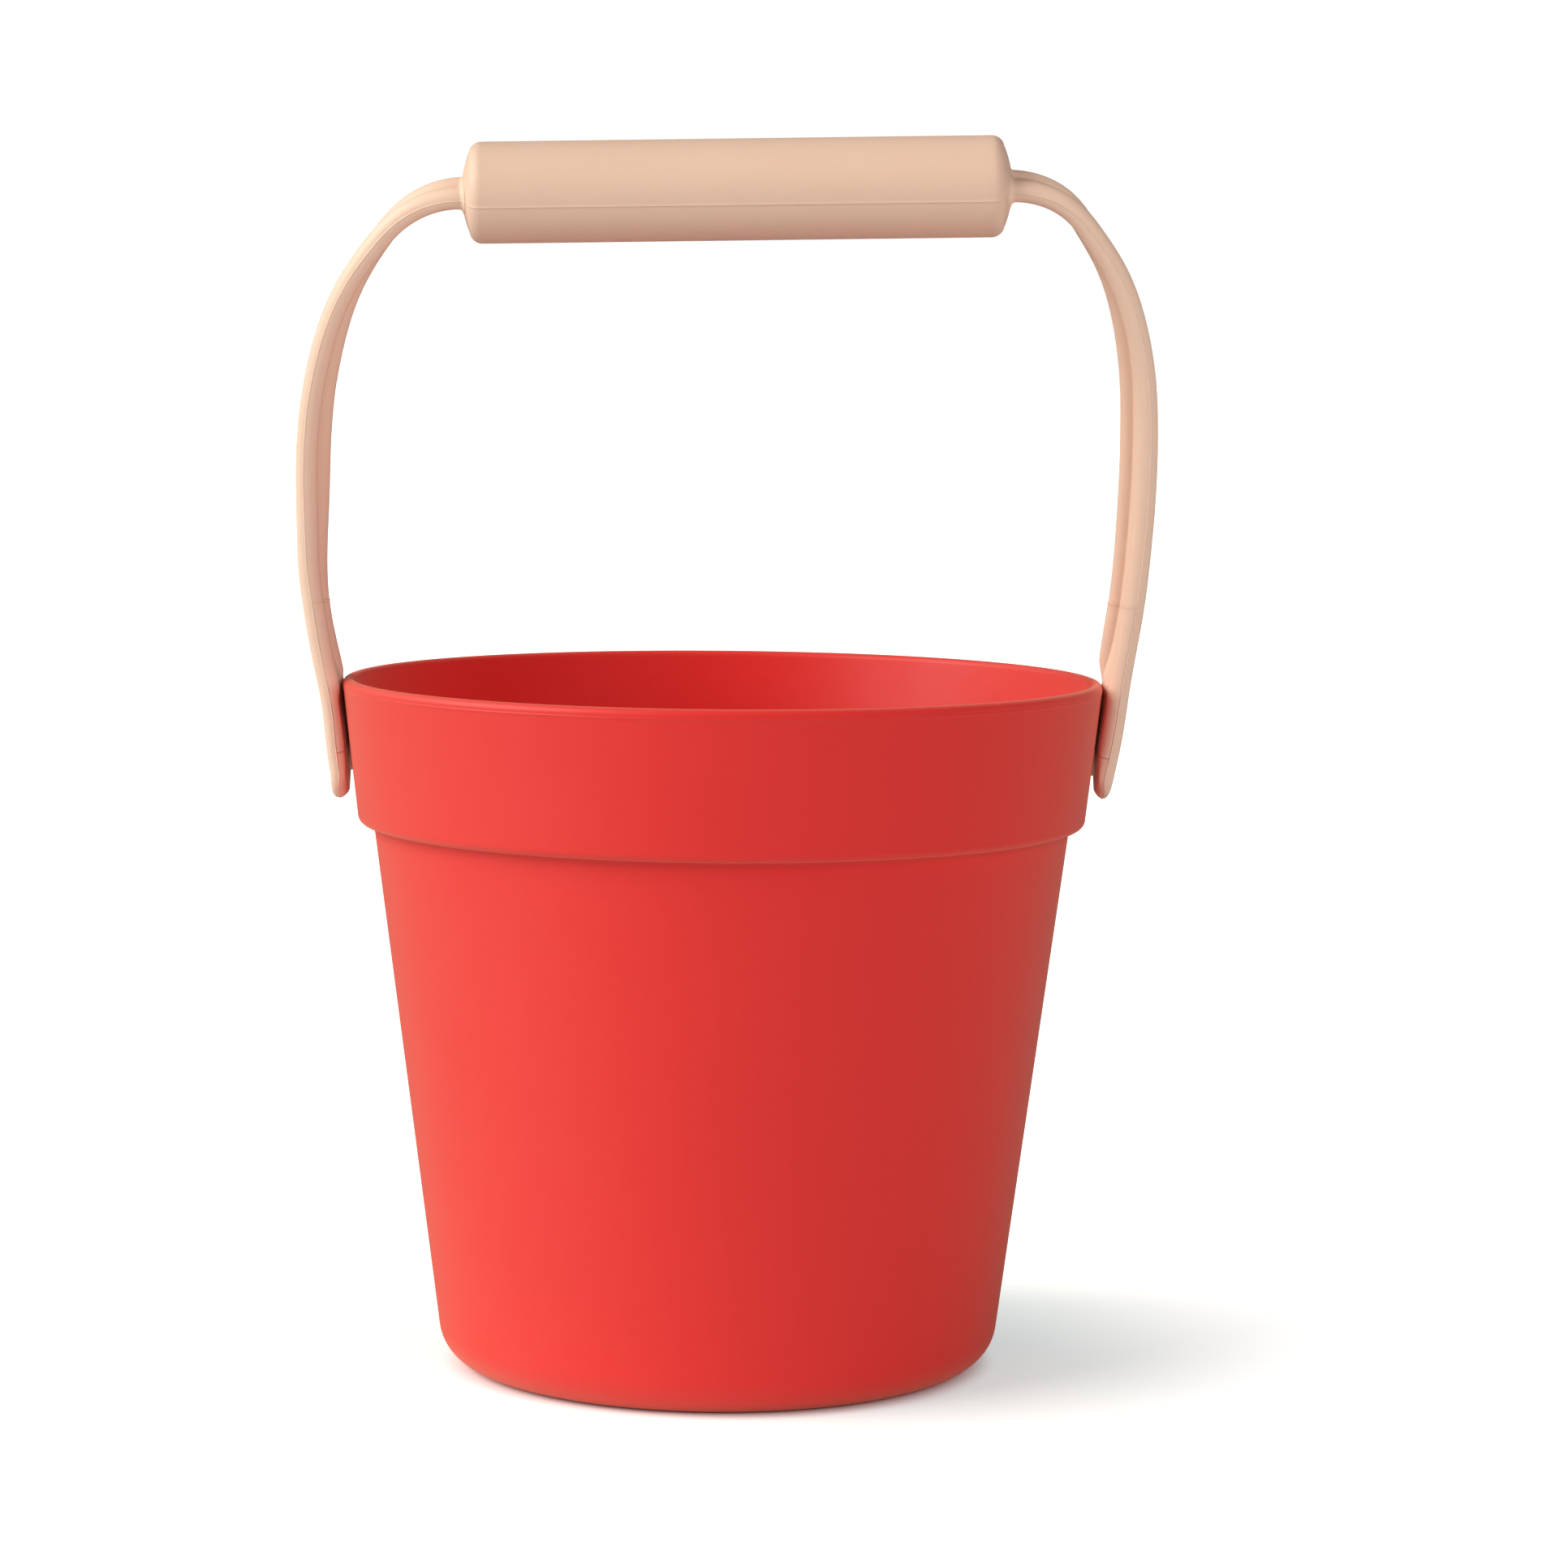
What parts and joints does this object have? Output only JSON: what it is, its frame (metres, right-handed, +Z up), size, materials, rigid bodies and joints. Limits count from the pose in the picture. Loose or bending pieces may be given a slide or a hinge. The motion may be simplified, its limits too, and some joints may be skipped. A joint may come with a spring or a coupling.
{
  "type": "sand bucket",
  "caption": "Soft moulded child's sand bucket: tapered cup stepping out into a deep plain collar, with a ribbed swing handle and a thick round grip",
  "frame": {"origin": "centre of the bucket's flat underside, on the surface that it stands on, below the middle of the pivot axis", "axes": "+Z up through the bucket's centre; X along the handle's pivot axis; at rest the handle leans 18.5 degrees from upright towards -Y"},
  "size_m": [0.1704, 0.1546, 0.2489],
  "materials": {
    "bucket_silicone": "matte soft-touch red silicone, faintly frosted",
    "handle_silicone": "matte soft-touch warm beige silicone",
    "anchor_plastic": "matte moulded plastic in the handle's beige"
  },
  "bodies": {
    "bucket": {"bucket_shell": "bucket_silicone"},
    "handle": {"handle_strap": "handle_silicone", "grip_sleeve": "handle_silicone", "left_pivot_anchor": "anchor_plastic", "right_pivot_anchor": "anchor_plastic"}
  },
  "joints": [
    {"name": "handle_swing", "type": "hinge", "parent": "bucket", "child": "handle", "pos_m": [0, 0, 0.1245], "axis": [1, 0, 0], "range_deg": [-161.5, 124.5]}
  ]
}
